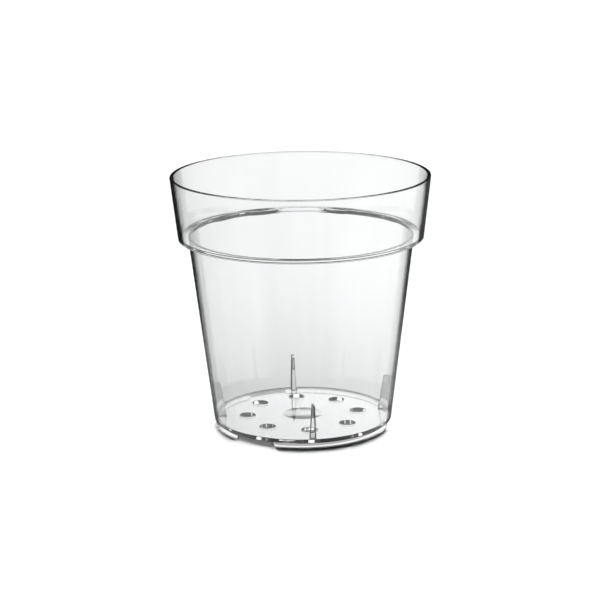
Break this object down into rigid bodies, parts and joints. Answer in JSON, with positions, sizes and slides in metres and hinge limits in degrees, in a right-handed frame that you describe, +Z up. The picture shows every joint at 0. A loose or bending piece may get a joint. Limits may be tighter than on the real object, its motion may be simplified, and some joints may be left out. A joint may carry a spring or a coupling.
{
  "type": "orchid pot",
  "caption": "Clear tapered orchid pot with a tall collar above a shoulder ledge, drain holes in the floor, inner stacking ribs and a gapped foot ring.",
  "frame": {"origin": "middle of the foot ring, on the ground", "axes": "+Z up along the pot's axis to the mouth, -Y towards the front rib, +X to the right seen from the front"},
  "size_m": [0.13, 0.13, 0.1284],
  "materials": {
    "clear_plastic": "clear, colourless, polished moulding"
  },
  "bodies": {
    "root": {"collar": "clear_plastic", "shoulder_ledge": "clear_plastic", "tapered_wall": "clear_plastic", "base_floor": "clear_plastic", "rib_front": "clear_plastic", "rib_right": "clear_plastic", "rib_back": "clear_plastic", "rib_left": "clear_plastic", "foot_front": "clear_plastic", "foot_back": "clear_plastic", "foot_left": "clear_plastic"}
  },
  "joints": []
}
